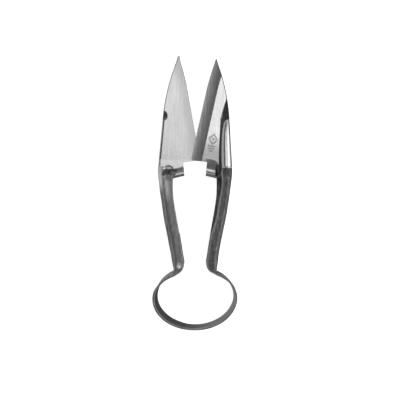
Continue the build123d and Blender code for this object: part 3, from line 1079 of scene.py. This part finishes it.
def steel_forged(name, dark, light, smoothest, streaks):
    """Dark forged steel, mottled by scale and drawn out along its length, worn lighter at its edges; painted
    shade and painted highlights where the mesh's readings ask.
    """
    n = Surface(name, Metallic=0.92)
    middle = (dark + light) / 2
    patch = n.noise(240, 6, 0.65, stretch=(1, 0.5, 1), distort=0.5)
    blot = n.noise(640, 5, 0.7, stretch=(1, 0.7, 1), distort=0.3)
    speck = n.noise(1700, 5, 0.7)
    pit = n.cells(900, stretch=(1, 0.7, 1))
    streak = n.noise(1.0, 5, 0.65, stretch=(1300, 90, 1300))
    uneven = [(0.36, dark * 0.55), (0.5, middle), (0.64, light * 1.45)]
    base = n.ramp(patch, [(0.32, dark), (0.52, middle), (0.68, light)])
    base = n.mix(0.5, base, n.ramp(blot, uneven))
    base = n.mix(streaks, base, n.ramp(streak, uneven))
    satin, scale_and_shade, wear, painted_light = (n.reading(label) for label in ("satin", "scale_and_shade", "wear", "painted_light"))
    base = n.mix(n.ramp(pit, [(0.0, 0.6), (0.22, 0.0)]), base, grey(dark * 0.3))
    base = n.mix(satin, base, n.ramp(speck, [(0.3, 0.18), (0.72, 0.36)]))
    # painted shade, with some scale
    base = n.mix(n.ramp(scale_and_shade, [(0.0, 0.0), (1.0, 0.85)]), base, grey(dark * 0.25))
    base = n.mix(n.ramp(wear, [(0.1, 0.0), (1.0, 0.45)]), base, grey(0.6))
    # painted highlight and sheen
    base = n.mix(n.ramp(painted_light, [(0.0, 0.0), (1.0, 0.85)]), base, grey(0.86))
    roughness = n.ramp(speck, [(0.3, smoothest), (0.72, 0.55)])
    roughness = n.mix(n.ramp(painted_light, [(0.4, 0.0), (1.0, 1.0)]), roughness, grey(0.24))
    roughness = n.mix(satin, roughness, grey(0.38))
    # bumps in metres, coarse ones first; the satin end of the strip keeps only the specks
    even = grey(0.5)
    normal = n.bump(n.mix(satin, patch, even), 0.0003, 0.5)
    normal = n.bump(n.mix(satin, blot, even), 0.00022, 0.6, normal)
    normal = n.bump(n.mix(satin, streak, even), 0.00012, 0.4, normal)
    normal = n.bump(speck, 0.00006, 0.6, normal)
    return n.finish(base, roughness, normal)


def steel_spring(name):
    """Satin drawn spring steel, dark, with wiped oxide and brighter edges."""
    n = Surface(name, Metallic=0.95)
    draw = n.noise(1.0, 5, 0.6, stretch=(260, 260, 3000))
    speck = n.noise(1300, 5, 0.65)
    cloud = n.noise(150, 3, 0.5)
    drawn = n.ramp(draw, [(0.3, 0.16), (0.7, 0.42)])
    base = n.mix(0.5, n.ramp(cloud, [(0.3, 0.2), (0.7, 0.36)]), drawn)
    base = n.mix(0.35, base, n.ramp(speck, [(0.3, 0.12), (0.7, 0.5)]))
    base = n.mix(n.ramp(n.reading("wear"), [(0.3, 0.0), (1.0, 0.25)]), base, grey(0.6))
    roughness = n.ramp(speck, [(0.3, 0.28), (0.72, 0.46)])
    normal = n.bump(speck, 0.00004, 0.5, n.bump(draw, 0.00003, 0.4))
    return n.finish(base, roughness, normal)


materials = {
    "spring": steel_spring("spring_steel_satin"),
    "grip": steel_forged("grip_steel_forged", 0.1, 0.27, smoothest=0.34, streaks=0.32),
    "weld": steel_forged("weld_steel_scaled", 0.07, 0.25, smoothest=0.3, streaks=0.6),
    # the left blade's steel is a darker copy of the right's: painted shade
    "blade_left": steel_bright("blade_steel_left_shaded", 3.0, tone=0.5),
    "blade_right": steel_bright("blade_steel_right", -8.0, tone=0.6),
    "bevel": steel_ground("blade_bevel_ground", -15.0),
}


# -------- build the object

for side in ("left", "right"):
    make_strip(side, materials)
    make_blade(side, materials[f"blade_{side}"], materials["bevel"])
    make_weld(side, materials["weld"])


# -------- floor, lights and camera

FLOOR_HALF = 1.6
FLOOR_Z = -0.0004  # just under the snips
CAMERA_X, CAMERA_Y = 0.0023, -0.0036
CAMERA_HEIGHT = 0.312  # over the shear plane
CAMERA_LENS = 60.4
OVERHEAD_X, OVERHEAD_Y = 0.04, 0.157

# brightness of the surroundings: (height or sideways part of the direction, value)
WORLD_LEFT = [(-0.85, 0.16), (-0.55, 0.75), (-0.1, 1.05), (0.4, 1.0), (0.6, 0.08), (0.93, 0.07), (1.0, 0.2)]
WORLD_RIGHT = [(-0.85, 0.02), (-0.5, 0.6), (-0.1, 1.05), (0.45, 1.0), (0.7, 0.6), (0.9, 0.35), (1.0, 0.2)]
WORLD_BELOW = [(-0.2, 0.42), (-0.06, 0.24), (0.02, 0.08), (0.15, 0.005)]


def make_floor():
    """Sheet of white paper that glows a little and shows in no reflection."""
    a = FLOOR_HALF
    mesh = bpy.data.meshes.new("studio_floor")
    mesh.from_pydata([(-a, -a, 0), (a, -a, 0), (a, a, 0), (-a, a, 0)], [], [(0, 1, 2, 3)])
    floor = bpy.data.objects.new("studio_floor", mesh)
    floor.location.z = FLOOR_Z
    bpy.context.scene.collection.objects.link(floor)
    n = Surface("studio_floor_paper", Roughness=0.9, Emission_Color=(1, 1, 1, 1), Emission_Strength=0.8)
    grain = n.noise(300, 3, 0.5)
    mesh.materials.append(n.finish(n.ramp(grain, [(0.3, 0.93), (0.7, 0.95)])))
    floor.visible_glossy = False


def soft_box(name, place, size, watts, aim=(0, 0, 0)):
    """Rectangular lamp that points at a place and isn't seen itself."""
    light = bpy.data.lights.new(name, "AREA")
    light.shape = "RECTANGLE"
    light.size, light.size_y = size
    light.energy = watts
    lamp = bpy.data.objects.new(name, light)
    lamp.location = place
    lamp.rotation_mode = "QUATERNION"
    lamp.rotation_quaternion = (Vector(aim) - Vector(place)).to_track_quat("-Z", "Y")
    lamp.visible_camera = False
    bpy.context.scene.collection.objects.link(lamp)


def make_world():
    """Surroundings of a studio: a dark ring round the overhead light, lighter low down and to the right."""
    world = bpy.data.worlds.new("studio_surroundings")
    world.use_nodes = True
    bpy.context.scene.world = world
    n = Nodes(world.node_tree)
    split = n.node("SeparateXYZ")
    n.link(n.node("TexCoord").outputs["Generated"], split.inputs[0])

    def curve(axis, low, high, stops):
        """Brightness that follows one part of the direction."""
        part = n.node("MapRange", From_Min=low, From_Max=high)
        n.link(split.outputs[axis], part.inputs["Value"])
        shares = [((place - low) / (high - low), value) for place, value in stops]
        return n.ramp(part.outputs["Result"], shares, "EASE")

    left = curve("Z", -1, 1, WORLD_LEFT)
    right = curve("Z", -1, 1, WORLD_RIGHT)
    below = curve("X", -0.4, 0.4, WORLD_BELOW)
    around = n.mix(curve("X", -0.2, 0.5, [(0.0, 0), (0.35, 1)]), left, right)
    colour = n.mix(curve("Z", -1, 1, [(-0.95, 1), (-0.8, 0)]), around, below)
    n.link(colour, n.tree.nodes["Background"].inputs["Color"])


def make_camera():
    """Camera over the snips that looks straight down, as in the photo."""
    camera = bpy.data.cameras.new("photo_camera")
    camera.sensor_width = 36
    camera.lens = CAMERA_LENS
    camera.clip_start, camera.clip_end = 0.01, 20
    holder = bpy.data.objects.new("photo_camera", camera)
    holder.location = (CAMERA_X, CAMERA_Y, SHEAR_Z * MM + CAMERA_HEIGHT)
    bpy.context.scene.collection.objects.link(holder)
    bpy.context.scene.camera = holder


make_floor()
make_world()
make_camera()
over_place, over_aim = (OVERHEAD_X, OVERHEAD_Y, 0.75), (OVERHEAD_X, OVERHEAD_Y, 0)
soft_box("overhead_box", over_place, (0.5, 0.256), 0.66, over_aim)
soft_box("right_card", (0.9, 0.1, 0.45), (0.5, 0.9), 1.8)
bpy.context.scene.view_settings.view_transform = "Standard"
